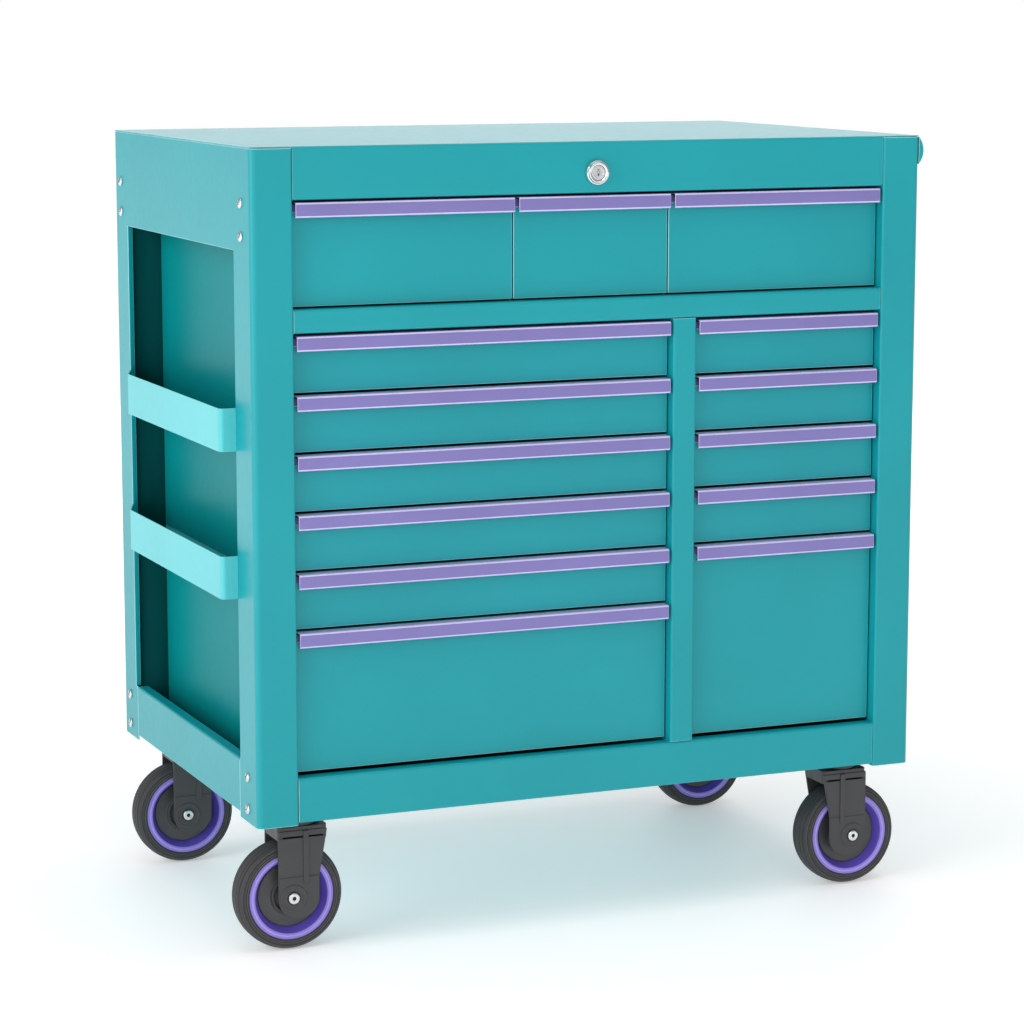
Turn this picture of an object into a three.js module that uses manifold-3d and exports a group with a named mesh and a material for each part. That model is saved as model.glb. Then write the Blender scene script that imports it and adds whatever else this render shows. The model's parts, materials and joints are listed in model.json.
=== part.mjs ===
// A rolling tool chest of folded steel sheet: fourteen drawers on side slides, two open trays on
// the left side, a key lock in the top fascia and four swivel casters.
// Millimetres, +Z up, the drawers open towards -Y. The chassis and the drawers are drawn from the
// body's front left bottom corner (x to the right, y to the back, z up), each caster from the point
// on the floor under its swivel pin.

import * as THREE from 'three';
import { mergeVertices } from 'three/addons/utils/BufferGeometryUtils.js';
import Module from 'manifold-3d';

const wasm = await Module();
wasm.setup();

// ---- Body
const WIDTH = 924;
const DEPTH = 595;
const HEIGHT = 845;
const FLOOR_CLEARANCE = 170;
const SHEET = 1.5;
const GAP = 0.3;
const BEND = 2.5;
const CORNER_BEND = 7;

// ---- Front frame: corner posts stand one sheet proud of the rails
const POST_WIDTH = 54;
const POST_RETURN = 20;
const RAIL_FRONT = SHEET;
const FASCIA_HEIGHT = 65;
const MID_RAIL_BOTTOM = 617;
const MID_RAIL_TOP = 646.5;
const BOTTOM_RAIL_TOP = 60;
const BOTTOM_RAIL_BOTTOM = 2.5;
const DIVIDER_LEFT = 568;
const DIVIDER_RIGHT = 601;
const DIVIDER_BACK = 550;
const REAR_FLANGE = 20;

// ---- Left side: window with a recessed bay, apron under it and two fenced trays
const WINDOW_FRONT = 69;
const WINDOW_BACK = 539;
const WINDOW_BOTTOM = 76.5;
const WINDOW_TOP = 716.5;
const WINDOW_RETURN = 7;
const APRON_FRONT = 71.2;
const APRON_BACK = 531.6;
const APRON_BOTTOM = 7;
const APRON_FLANGE = 15;
const BAY_DEPTH = 48;
const BAY_FLOOR = 50;
const BAY_CEILING = 735;
const BAY_MARGIN = 3.5;
const TRAY_REACH = 21;
const TRAY_TAPER_START = 478;
const TRAY_HEIGHT = 54;
const TRAY_BACK_FLANGE = 20;
const TRAY_BOTTOMS = { upper_side_tray: 467, lower_side_tray: 281 };

// ---- Slides, and the walls that carry them
const WALL_LEFT = BAY_DEPTH + SHEET;
const WALL_RIGHT = WIDTH - WALL_LEFT;
const WALL_TOP = 765;
const SPLITS = [350, 565.5];
const SEPARATOR_LEVEL = 630;
const SLIDE_SPACE = 12.5;
const SLIDE_FRONT = 26;
const SLIDE_BACK = 486;
const SLIDE_HEIGHT = 34;
const SLIDE_DROP = 42;
const CHANNEL_LIP = 10;
const RUNNER_THICKNESS = 6.5;
const RUNNER_HEIGHT = 28;

// ---- Drawers
const FACE_FRONT = 16;
const FACE_RETURN = 9;
const FACE_GAP = 2;
const TOP_ROW = { bottom: 649, top: 777 };
const STACK_TOP = 613.5;
const PITCH = 74;
const ROW_GAP = 3.5;
const STACK_BOTTOM = 65;
const LEFT_COUNT = 6;
const RIGHT_COUNT = 5;
const TRAY_FRONT = FACE_FRONT + SHEET;
const TRAY_BACK = 487;
const TRAY_FLOOR_RISE = 6;
const TRAY_RIM_DROP = 20;

// ---- Full-width drawer handles: an upside-down channel hooked on the face's top edge
const HANDLE_INSET = 2;
const HANDLE_FRONT = 0.5;
const HANDLE_DROP = 18.5;
const HANDLE_BACK_DROP = 13;
const HANDLE_WALL = 2;

// ---- Push rail, lock
const PUSH_RAIL_HEIGHT = 36;
const PUSH_RAIL_REACH = 7.5;
const LOCK_X = 458;
const LOCK_Z = HEIGHT - 39;
const LOCK_PROUD = 8;
const LOCK_BEZEL_RADIUS = 15.5;
const LOCK_BARREL_RADIUS = 12.5;
const LOCK_PLUG_RADIUS = 9.5;
const LOCK_LENGTH = 26;
const CAM = { length: 30, width: 14, thickness: 2.5 };

// ---- Casters: their wheels trail outwards at rest, and those on the right stand further in
const AXLE_HEIGHT = 70;
const TRAIL = 12;
const TYRE_HALF_WIDTH = 20;
const RIM_HALF_WIDTH = 19.5;
const SEAT_RADIUS = 53.5;
const LIP_RADIUS = 56;
const LIP_FACE = 7.5;
const DISH = 5.5;
const WEB_HALF_THICKNESS = 6;
const HUB = { rootRadius: 16, radius: 15, halfLength: 23.8 };
const TYRE_SHOULDER = 5;
const LEG_INNER = 25;
const LEG_THICKNESS = 3.5;
const LEG_TOP = [-32, 34];
const LEG_WAIST = 23;
const CROWN_CORNER = 6;
const BOSS_RADIUS = 27.5;
const AXLE_RADIUS = 5;
const AXLE_HEAD = { radius: 8, height: 3 };
const PIN_RADIUS = 6;
const PIN_HEAD = { radius: 12, thickness: 3 };
const RUNNING_CLEARANCE = 0.5;
const CROWN_BOTTOM = 145;
const CROWN_TOP = 162.4;
const RACE_RADIUS = 30;
const RACE_CHAMFER = 3;
const MOUNT_BOTTOM = 163;
const MOUNT_PLATE = { length: 104, width: 62, bottom: FLOOR_CLEARANCE + 2.7, thickness: 4 };
const CASTER_LEFT_X = -396;
const CASTER_RIGHT_X = 380;
const CASTER_FRONT_Y = -245;
const CASTER_BACK_Y = 210;

const FOLD_STEPS = 2;
const CORNER_STEPS = 4;
const ARC_STEPS = 6;
const WHEEL_SEGMENTS = 20;
const ROUND_SEGMENTS = 16;

const PAINT = new THREE.MeshStandardMaterial({ color: 0x2fa5ae, roughness: 0.45, metalness: 0.1 });
const DARK_PAINT = new THREE.MeshStandardMaterial({ color: 0x0f6a6e, roughness: 0.5, metalness: 0.1 });
const HANDLE = new THREE.MeshStandardMaterial({ color: 0x8b80c3, roughness: 0.4, metalness: 0.35 });
const CHROME = new THREE.MeshStandardMaterial({ color: 0xd5d8da, roughness: 0.12, metalness: 1 });
const FORK_STEEL = new THREE.MeshStandardMaterial({ color: 0x464648, roughness: 0.5, metalness: 0.4 });
const ZINC = new THREE.MeshStandardMaterial({ color: 0x8d9093, roughness: 0.35, metalness: 0.8 });
const RIM_PLASTIC = new THREE.MeshStandardMaterial({ color: 0x6a5bc4, roughness: 0.35, metalness: 0 });
const RUBBER = new THREE.MeshStandardMaterial({ color: 0x3c3c3e, roughness: 0.8, metalness: 0 });

// ---- Solids

function toSolid(geometry) {
  const bare = geometry.clone();
  bare.deleteAttribute('normal');
  bare.deleteAttribute('uv');
  const welded = mergeVertices(bare, 1e-4);
  const corners = welded.index.array;
  const triVerts = [];
  for (let i = 0; i < corners.length; i += 3) {
    const [a, b, c] = corners.slice(i, i + 3);
    if (a !== b && b !== c && c !== a) triVerts.push(a, b, c);
  }
  return new wasm.Manifold(new wasm.Mesh({
    numProp: 3,
    vertProperties: Float32Array.from(welded.attributes.position.array),
    triVerts: Uint32Array.from(triVerts),
  }));
}

function toGeometry(solid) {
  const mesh = solid.getMesh();
  const geometry = new THREE.BufferGeometry();
  geometry.setAttribute('position', new THREE.BufferAttribute(mesh.vertProperties, 3));
  geometry.setIndex(new THREE.BufferAttribute(mesh.triVerts, 1));
  geometry.computeVertexNormals();
  return geometry;
}

function join(...geometries) {
  return toGeometry(geometries.map(toSolid).reduce((sum, solid) => sum.add(solid)));
}

function cut(geometry, ...tools) {
  return toGeometry(tools.map(toSolid).reduce((rest, tool) => rest.subtract(tool), toSolid(geometry)));
}

function box([x0, x1], [y0, y1], [z0, z1]) {
  const geometry = new THREE.BoxGeometry(x1 - x0, y1 - y0, z1 - z0);
  return geometry.translate((x0 + x1) / 2, (y0 + y1) / 2, (z0 + z1) / 2);
}

// A box of sheet with one side left open: openAxis 0, 1 or 2 and openEnd 0 (low) or 1 (high).
function pan(ranges, openAxis, openEnd, wall = SHEET) {
  const inner = ranges.map(([low, high]) => [low + wall, high - wall]);
  inner[openAxis][openEnd] = ranges[openAxis][openEnd] + (openEnd ? wall : -wall);
  return cut(box(...ranges), box(...inner));
}

const AXES = {
  x: [new THREE.Vector3(0, 1, 0), new THREE.Vector3(0, 0, 1), new THREE.Vector3(1, 0, 0)],
  y: [new THREE.Vector3(1, 0, 0), new THREE.Vector3(0, 0, 1), new THREE.Vector3(0, -1, 0)],
  z: [new THREE.Vector3(1, 0, 0), new THREE.Vector3(0, 1, 0), new THREE.Vector3(0, 0, 1)],
};

// Extrudes an outline in (y, z) along x, in (x, z) along y or in (x, y) along z.
function prism(shape, axis, from, to) {
  const geometry = new THREE.ExtrudeGeometry(shape, {
    depth: to - from,
    bevelEnabled: false,
    curveSegments: ARC_STEPS,
  });
  geometry.applyMatrix4(new THREE.Matrix4().makeBasis(...AXES[axis]));
  const start = axis === 'y' ? to : from;
  return geometry.translate(axis === 'x' ? start : 0, axis === 'y' ? start : 0, axis === 'z' ? start : 0);
}

function polygon(...points) {
  return new THREE.Shape(points.map(([u, v]) => new THREE.Vector2(u, v)));
}

// The outline of a sheet folded along a centreline, with a bend radius for each inner corner.
function foldedStrip(corners, radii, thickness = SHEET) {
  const points = corners.map(([u, v]) => new THREE.Vector2(u, v));
  const left = [];
  const right = [];
  const place = (point, normal) => {
    left.push(point.clone().addScaledVector(normal, thickness / 2));
    right.unshift(point.clone().addScaledVector(normal, -thickness / 2));
  };
  const direction = (i) => points[i + 1].clone().sub(points[i]).normalize();
  const leftOf = (d) => new THREE.Vector2(-d.y, d.x);
  place(points[0], leftOf(direction(0)));
  radii.forEach((radius, i) => {
    const before = direction(i);
    const after = direction(i + 1);
    const turn = Math.atan2(before.cross(after), before.dot(after));
    const inward = leftOf(before).multiplyScalar(Math.sign(turn));
    const start = points[i + 1].clone().addScaledVector(before, -radius * Math.tan(Math.abs(turn) / 2));
    const centre = start.clone().addScaledVector(inward, radius);
    const steps = radius < CORNER_BEND ? FOLD_STEPS : CORNER_STEPS;
    for (let step = 0; step <= steps; step++) {
      const angle = (turn * step) / steps;
      const spoke = inward.clone().rotateAround(new THREE.Vector2(), angle);
      const heading = before.clone().rotateAround(new THREE.Vector2(), angle);
      place(centre.clone().addScaledVector(spoke, -radius), leftOf(heading));
    }
  });
  place(points.at(-1), leftOf(direction(points.length - 2)));
  return new THREE.Shape([...left, ...right]);
}

// A closed (radius, height) profile turned about the Y axis.
function turnedY(profile, segments) {
  const closed = profile[0][0] === 0 ? profile : [...profile, profile[0]];
  return new THREE.LatheGeometry(closed.map(([r, h]) => new THREE.Vector2(r, h)), segments);
}

function turnedZ(profile, segments) {
  return turnedY(profile, segments).rotateX(Math.PI / 2);
}

const assembly = new THREE.Group();

function addMesh(parent, name, geometry, material) {
  const mesh = new THREE.Mesh(geometry, material);
  mesh.name = name;
  parent.add(mesh);
  return mesh;
}

// ---- Chassis

const cabinet = new THREE.Group();
cabinet.position.set(
  -(WIDTH + TRAY_REACH + PUSH_RAIL_REACH) / 2 + TRAY_REACH,
  -(DEPTH + LOCK_PROUD) / 2 + LOCK_PROUD,
  FLOOR_CLEARANCE,
);
assembly.add(cabinet);

const PANEL_TOP = HEIGHT - SHEET - GAP;
const RAIL_SPAN = [POST_WIDTH + GAP, WIDTH - POST_WIDTH - GAP];
const HALF = SHEET / 2;

// One strip folded into corner post, side and rear flange; mirrored for the right side.
function sideSection(mirrored) {
  const corners = [
    [POST_WIDTH - HALF, POST_RETURN],
    [POST_WIDTH - HALF, HALF],
    [HALF, HALF],
    [HALF, DEPTH - HALF],
    [REAR_FLANGE, DEPTH - HALF],
  ];
  const placed = mirrored ? corners.map(([x, y]) => [WIDTH - x, y]) : corners;
  return foldedStrip(placed, [BEND, CORNER_BEND, BEND]);
}

function leftSideFrame() {
  const blank = prism(sideSection(false), 'z', 0, PANEL_TOP);
  const skin = [-1, BAY_DEPTH / 2];
  const windowCut = box(skin, [WINDOW_FRONT, WINDOW_BACK], [WINDOW_BOTTOM, WINDOW_TOP]);
  const apronCut = box(skin, [APRON_FRONT, APRON_BACK], [-1, WINDOW_BOTTOM + 1]);
  const inward = [HALF, WINDOW_RETURN];
  return join(
    cut(blank, windowCut, apronCut),
    box(inward, [WINDOW_FRONT - SHEET, WINDOW_FRONT], [WINDOW_BOTTOM, WINDOW_TOP + SHEET]),
    box(inward, [WINDOW_BACK, WINDOW_BACK + SHEET], [WINDOW_BOTTOM, WINDOW_TOP + SHEET]),
    box(inward, [WINDOW_FRONT - SHEET, WINDOW_BACK + SHEET], [WINDOW_TOP, WINDOW_TOP + SHEET]),
  );
}

function leftApron() {
  const level = WINDOW_BOTTOM - HALF;
  const section = foldedStrip([[HALF, APRON_BOTTOM], [HALF, level], [APRON_FLANGE, level]], [BEND]);
  return prism(section, 'y', APRON_FRONT + GAP, APRON_BACK - GAP);
}

function topPanel() {
  const section = foldedStrip(
    [
      [POST_RETURN, HEIGHT - FASCIA_HEIGHT + HALF],
      [RAIL_FRONT + HALF, HEIGHT - FASCIA_HEIGHT + HALF],
      [RAIL_FRONT + HALF, HEIGHT - HALF],
      [DEPTH - HALF, HEIGHT - HALF],
      [DEPTH - HALF, HEIGHT - REAR_FLANGE],
    ],
    [BEND, BEND, BEND],
  );
  const below = [0, HEIGHT - SHEET];
  const front = [-1, POST_RETURN + 1];
  const back = [DEPTH - REAR_FLANGE, DEPTH + 1];
  return cut(
    prism(section, 'x', 0, WIDTH),
    box([-1, RAIL_SPAN[0]], front, below),
    box([RAIL_SPAN[1], WIDTH + 1], front, below),
    box([-1, REAR_FLANGE + GAP], back, below),
    box([WIDTH - REAR_FLANGE - GAP, WIDTH + 1], back, below),
    turnedY([[0, -1], [LOCK_BARREL_RADIUS + GAP, -1], [LOCK_BARREL_RADIUS + GAP, 10], [0, 10]], ROUND_SEGMENTS)
      .translate(LOCK_X, 0, LOCK_Z),
  );
}

function basePanel() {
  const section = foldedStrip(
    [
      [POST_RETURN + 2 + HALF, 3 * APRON_BOTTOM],
      [POST_RETURN + 2 + HALF, APRON_BOTTOM + HALF],
      [DEPTH - 5, APRON_BOTTOM + HALF],
      [DEPTH - 5, 3 * APRON_BOTTOM],
    ],
    [BEND, BEND],
  );
  return prism(section, 'x', SHEET + GAP, WIDTH - SHEET - GAP);
}

function backPanel() {
  const inset = SHEET + BEND;
  return box(
    [inset, WIDTH - inset],
    [DEPTH - 2 * SHEET - GAP, DEPTH - SHEET - GAP],
    [APRON_BOTTOM, HEIGHT - 2 * BEND],
  );
}

// The fixed half of a drawer slide: a channel on a wall, opening towards the drawer.
function slideChannel(wall, facing, level) {
  const across = (from, to) => [wall + facing * from, wall + facing * to].sort((a, b) => a - b);
  const run = [SLIDE_FRONT, SLIDE_BACK];
  const [bottom, top] = [level - SLIDE_HEIGHT / 2, level + SLIDE_HEIGHT / 2];
  return join(
    box(across(-HALF, SHEET), run, [bottom, top]),
    box(across(-HALF, CHANNEL_LIP), run, [top - SHEET, top]),
    box(across(-HALF, CHANNEL_LIP), run, [bottom, bottom + SHEET]),
  );
}

function channels(wall, facing, drawers) {
  return drawers.map(({ top }) => slideChannel(wall, facing, top - SLIDE_DROP));
}

function leftBayLiner(drawers) {
  const inset = SHEET + GAP;
  const run = [WINDOW_FRONT - BAY_MARGIN - SHEET, WINDOW_BACK + BAY_MARGIN + SHEET];
  return join(
    pan([[inset, WALL_LEFT], run, [BAY_FLOOR, BAY_CEILING + SHEET]], 0, 0),
    box([BAY_DEPTH, WALL_LEFT], run, [BAY_CEILING, WALL_TOP]),
    ...channels(WALL_LEFT, 1, drawers),
  );
}

function rightSlideWall(drawers) {
  const run = [SLIDE_FRONT, DIVIDER_BACK];
  const level = APRON_BOTTOM + SHEET + GAP;
  return join(
    box([WALL_RIGHT, WALL_RIGHT + SHEET], run, [level, WALL_TOP]),
    box([WALL_RIGHT, WALL_RIGHT + REAR_FLANGE], run, [level, level + SHEET]),
    box([WALL_RIGHT, WALL_RIGHT + REAR_FLANGE], run, [WALL_TOP - SHEET, WALL_TOP]),
    ...channels(WALL_RIGHT, -1, drawers),
  );
}

// A tray's plan runs square out at the front and tapers back to the window's rear edge.
function sideTray(bottom) {
  const front = WINDOW_FRONT + GAP + HALF;
  const back = WINDOW_BACK - GAP - SHEET;
  const outer = -TRAY_REACH + HALF;
  const inner = BAY_DEPTH - GAP;
  const fence = foldedStrip(
    [[inner, front], [outer, front], [outer, TRAY_TAPER_START], [HALF, back]],
    [2 * BEND, 2 * BEND],
  );
  const plate = polygon([inner, front], [outer, front], [outer, TRAY_TAPER_START], [HALF, back], [inner, back]);
  return join(
    prism(fence, 'z', bottom, bottom + TRAY_HEIGHT),
    cut(
      prism(plate, 'z', bottom, bottom + SHEET),
      box([outer - 1, outer + 2 * BEND], [front - 1, front + 2 * BEND], [bottom - 1, bottom + 3]),
    ),
    prism(polygon([outer, front + 2 * BEND], [outer + 2 * BEND, front], [outer + 3 * BEND, front + 3 * BEND]),
      'z', bottom, bottom + SHEET),
    box([inner - SHEET, inner], [front, back], [bottom, bottom + TRAY_BACK_FLANGE]),
  );
}

function frontBottomRail() {
  const section = foldedStrip(
    [
      [POST_RETURN, BOTTOM_RAIL_TOP - HALF],
      [RAIL_FRONT + HALF, BOTTOM_RAIL_TOP - HALF],
      [RAIL_FRONT + HALF, BOTTOM_RAIL_BOTTOM + HALF],
      [POST_RETURN, BOTTOM_RAIL_BOTTOM + HALF],
    ],
    [BEND, BEND],
  );
  return prism(section, 'x', ...RAIL_SPAN);
}

// The rail between the top row and the stacks, with the dust pan behind it, the two partitions of
// the top row and that row's inner slide channels.
function midRail(topRow) {
  const section = foldedStrip(
    [
      [POST_RETURN, MID_RAIL_BOTTOM + HALF],
      [RAIL_FRONT + HALF, MID_RAIL_BOTTOM + HALF],
      [RAIL_FRONT + HALF, MID_RAIL_TOP - HALF],
      [POST_RETURN + 3, MID_RAIL_TOP - HALF],
      [POST_RETURN + 3, SEPARATOR_LEVEL],
      [DIVIDER_BACK, SEPARATOR_LEVEL],
    ],
    [BEND, BEND, BEND, BEND],
  );
  const partitions = SPLITS.flatMap((x, i) => [
    box([x - HALF, x + HALF], [SLIDE_FRONT, DIVIDER_BACK], [SEPARATOR_LEVEL, WALL_TOP]),
    ...channels(x - HALF, -1, [topRow[i]]),
    ...channels(x + HALF, 1, [topRow[i + 1]]),
  ]);
  return join(prism(section, 'x', ...RAIL_SPAN), ...partitions);
}

function centreDivider(leftStack, rightStack) {
  const section = foldedStrip(
    [
      [DIVIDER_LEFT + HALF, DIVIDER_BACK],
      [DIVIDER_LEFT + HALF, RAIL_FRONT + HALF],
      [DIVIDER_RIGHT - HALF, RAIL_FRONT + HALF],
      [DIVIDER_RIGHT - HALF, DIVIDER_BACK],
    ],
    [BEND, BEND],
  );
  const foot = APRON_BOTTOM + SHEET + GAP;
  const head = SEPARATOR_LEVEL - HALF - GAP;
  const nose = (from, to) => box([DIVIDER_LEFT - 1, DIVIDER_RIGHT + 1], [0, POST_RETURN + 4 + SHEET], [from, to]);
  const column = cut(
    prism(section, 'z', foot, head),
    nose(foot - 1, BOTTOM_RAIL_TOP + GAP),
    nose(MID_RAIL_BOTTOM - GAP, head + 1),
  );
  return join(column, ...channels(DIVIDER_LEFT, -1, leftStack), ...channels(DIVIDER_RIGHT, 1, rightStack));
}

// A bar of half-round section whose crown lies halfway down its height.
function pushRail() {
  const half = PUSH_RAIL_HEIGHT / 2;
  const chord = WIDTH + GAP;
  const reach = PUSH_RAIL_REACH - GAP;
  const radius = (half * half + reach * reach) / (2 * reach);
  const spread = Math.asin(half / radius);
  const centreZ = HEIGHT - SHEET - GAP - half;
  const outline = new THREE.Shape();
  outline.absarc(chord + reach - radius, centreZ, radius, -spread, spread, false);
  outline.closePath();
  return prism(outline, 'y', 2 * SHEET, DEPTH - 2 * SHEET);
}

// ---- Lock

function lockHousing() {
  const bore = LOCK_PLUG_RADIUS + GAP;
  const front = -LOCK_PROUD;
  const rail = RAIL_FRONT - GAP;
  const tail = LOCK_LENGTH;
  const profile = [
    [bore, tail],
    [bore, front + 1.5],
    [bore + 1, front],
    [LOCK_BEZEL_RADIUS - 2, front],
    [LOCK_BEZEL_RADIUS, front + 2],
    [LOCK_BEZEL_RADIUS, rail],
    [LOCK_BARREL_RADIUS, rail],
    [LOCK_BARREL_RADIUS, tail],
  ];
  return join(turnedY(profile, ROUND_SEGMENTS)).translate(LOCK_X, 0, LOCK_Z);
}

// The plug, its key slot and the cam on its inner end, which points up when the lock is open.
function lockPlug() {
  const front = -LOCK_PROUD + 2;
  const camStart = LOCK_LENGTH + 2 * GAP;
  const camEnd = camStart + CAM.thickness;
  const plug = turnedY(
    [[0, front], [LOCK_PLUG_RADIUS, front], [LOCK_PLUG_RADIUS, camEnd], [0, camEnd]],
    ROUND_SEGMENTS,
  );
  const cam = box([-CAM.width / 2, CAM.width / 2], [camStart, camEnd], [-CAM.width / 2, CAM.length]);
  const slot = box([-1.2, 1.2], [front - 1, front + 8], [-4.5, 4.5]);
  return cut(join(plug, cam), slot);
}

// ---- Drawers

function drawer({ left, right, wallLeft, wallRight, bottom, top }) {
  const inner = [wallLeft + SLIDE_SPACE, wallRight - SLIDE_SPACE];
  const level = top - SLIDE_DROP;
  const runner = [level - RUNNER_HEIGHT / 2, level + RUNNER_HEIGHT / 2];
  const run = [SLIDE_FRONT, SLIDE_BACK];
  return join(
    pan([[left, right], [FACE_FRONT, FACE_FRONT + FACE_RETURN], [bottom, top]], 1, 1),
    pan([inner, [TRAY_FRONT - HALF, TRAY_BACK], [bottom + TRAY_FLOOR_RISE, top - TRAY_RIM_DROP]], 2, 1),
    box([inner[0] - RUNNER_THICKNESS, inner[0] + HALF], run, runner),
    box([inner[1] - HALF, inner[1] + RUNNER_THICKNESS], run, runner),
  );
}

function handle({ left, right, top }) {
  const half = HANDLE_WALL / 2;
  const back = FACE_FRONT - GAP - half;
  const front = HANDLE_FRONT + half;
  const section = foldedStrip(
    [
      [back, top - HANDLE_BACK_DROP],
      [back, top - half],
      [front, top - half],
      [front, top - HANDLE_DROP + half],
      [front + 4, top - HANDLE_DROP + half],
    ],
    [half + 0.5, half + 0.5, half + 0.5],
    HANDLE_WALL,
  );
  return prism(section, 'x', left + HANDLE_INSET, right - HANDLE_INSET);
}

function topRowDrawers() {
  const names = ['top_left', 'top_middle', 'top_right'];
  const edges = [POST_WIDTH, ...SPLITS, WIDTH - POST_WIDTH];
  return names.map((name, i) => ({
    name,
    left: edges[i] + (i === 0 ? FACE_GAP : FACE_GAP / 2),
    right: edges[i + 1] - (i === names.length - 1 ? FACE_GAP : FACE_GAP / 2),
    wallLeft: i === 0 ? WALL_LEFT : edges[i] + HALF,
    wallRight: i === names.length - 1 ? WALL_RIGHT : edges[i + 1] - HALF,
    ...TOP_ROW,
  }));
}

function stack(name, count, left, right, wallLeft, wallRight) {
  return Array.from({ length: count }, (_, i) => {
    const top = STACK_TOP - PITCH * i;
    return {
      name: `${name}_${i + 1}`,
      left: left + FACE_GAP,
      right: right - FACE_GAP,
      wallLeft,
      wallRight,
      top,
      bottom: i === count - 1 ? STACK_BOTTOM : top - PITCH + ROW_GAP,
    };
  });
}

const topRow = topRowDrawers();
const leftStack = stack('left', LEFT_COUNT, POST_WIDTH, DIVIDER_LEFT, WALL_LEFT, DIVIDER_LEFT);
const rightStack = stack('right', RIGHT_COUNT, DIVIDER_RIGHT, WIDTH - POST_WIDTH, DIVIDER_RIGHT, WALL_RIGHT);

addMesh(cabinet, 'left_side_frame', leftSideFrame(), PAINT);
addMesh(cabinet, 'right_side_panel', prism(sideSection(true), 'z', 0, PANEL_TOP), PAINT);
addMesh(cabinet, 'top_panel', topPanel(), PAINT);
addMesh(cabinet, 'base_panel', basePanel(), DARK_PAINT);
addMesh(cabinet, 'back_panel', backPanel(), PAINT);
addMesh(cabinet, 'left_apron', leftApron(), PAINT);
addMesh(cabinet, 'left_bay_liner', leftBayLiner([topRow[0], ...leftStack]), DARK_PAINT);
addMesh(cabinet, 'right_slide_wall', rightSlideWall([topRow[2], ...rightStack]), DARK_PAINT);
addMesh(cabinet, 'mid_rail', midRail(topRow), PAINT);
addMesh(cabinet, 'front_bottom_rail', frontBottomRail(), PAINT);
addMesh(cabinet, 'centre_divider', centreDivider(leftStack, rightStack), PAINT);
addMesh(cabinet, 'push_rail', pushRail(), PAINT);
addMesh(cabinet, 'lock_housing', lockHousing(), CHROME);
addMesh(cabinet, 'lock_plug', lockPlug(), CHROME).position.set(LOCK_X, 0, LOCK_Z);
for (const [name, bottom] of Object.entries(TRAY_BOTTOMS)) {
  addMesh(cabinet, name, sideTray(bottom), PAINT);
}
for (const spec of [...topRow, ...leftStack, ...rightStack]) {
  addMesh(cabinet, `drawer_${spec.name}`, drawer(spec), PAINT);
  addMesh(cabinet, `handle_${spec.name}`, handle(spec), HANDLE);
}

// ---- Casters

function casterMount() {
  const { length, width, bottom, thickness } = MOUNT_PLATE;
  const headTop = CROWN_BOTTOM - 2 * GAP;
  const pin = turnedZ(
    [
      [0, headTop - PIN_HEAD.thickness],
      [PIN_HEAD.radius, headTop - PIN_HEAD.thickness],
      [PIN_HEAD.radius, headTop],
      [PIN_RADIUS, headTop],
      [PIN_RADIUS, MOUNT_BOTTOM],
      [RACE_RADIUS - RACE_CHAMFER, MOUNT_BOTTOM],
      [RACE_RADIUS, MOUNT_BOTTOM + RACE_CHAMFER],
      [RACE_RADIUS, FLOOR_CLEARANCE - 2 * GAP],
      [RACE_RADIUS - 1, FLOOR_CLEARANCE - 2 * GAP],
      [RACE_RADIUS - 1, bottom + 1],
      [0, bottom + 1],
    ],
    ROUND_SEGMENTS,
  );
  const plate = box([-length / 2, length / 2], [-width / 2, width / 2], [bottom, bottom + thickness]);
  return join(pin, plate);
}

// One leg's outline in (x, z): wide under the crown, round about the axle.
function legOutline() {
  const top = (CROWN_BOTTOM + CROWN_TOP) / 2;
  const boss = LEG_TOP[0] + BOSS_RADIUS;
  const outline = new THREE.Shape();
  outline.moveTo(LEG_TOP[1], top);
  outline.lineTo(LEG_TOP[0], top);
  outline.absarc(boss, AXLE_HEIGHT, BOSS_RADIUS, Math.PI, 2 * Math.PI, false);
  outline.lineTo(LEG_WAIST, AXLE_HEIGHT + BOSS_RADIUS);
  outline.closePath();
  return outline;
}

// The crown is a block with cut corners that joins the two legs and turns on the pin.
function casterFork() {
  const bore = PIN_RADIUS + RUNNING_CLEARANCE;
  const outer = LEG_INNER + LEG_THICKNESS;
  const [back, front] = LEG_TOP;
  const crownOutline = polygon(
    [back + CROWN_CORNER, -outer],
    [front - CROWN_CORNER, -outer],
    [front, CROWN_CORNER - outer],
    [front, outer - CROWN_CORNER],
    [front - CROWN_CORNER, outer],
    [back + CROWN_CORNER, outer],
    [back, outer - CROWN_CORNER],
    [back, CROWN_CORNER - outer],
  );
  const crown = cut(
    prism(crownOutline, 'z', CROWN_BOTTOM, CROWN_TOP),
    turnedZ(
      [[0, CROWN_BOTTOM - 1], [bore, CROWN_BOTTOM - 1], [bore, CROWN_TOP + 1], [0, CROWN_TOP + 1]],
      ROUND_SEGMENTS,
    ),
  );
  const cap = outer + AXLE_HEAD.height;
  const axle = turnedY(
    [
      [0, -cap],
      [AXLE_HEAD.radius, -cap],
      [AXLE_HEAD.radius, -outer + HALF],
      [AXLE_RADIUS, -outer + HALF],
      [AXLE_RADIUS, outer - HALF],
      [AXLE_HEAD.radius, outer - HALF],
      [AXLE_HEAD.radius, cap],
      [0, cap],
    ],
    ROUND_SEGMENTS / 2,
  ).translate(-TRAIL, 0, AXLE_HEIGHT);
  return join(
    crown,
    prism(legOutline(), 'y', -outer, -LEG_INNER),
    prism(legOutline(), 'y', LEG_INNER, outer),
    axle,
  );
}

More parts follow.
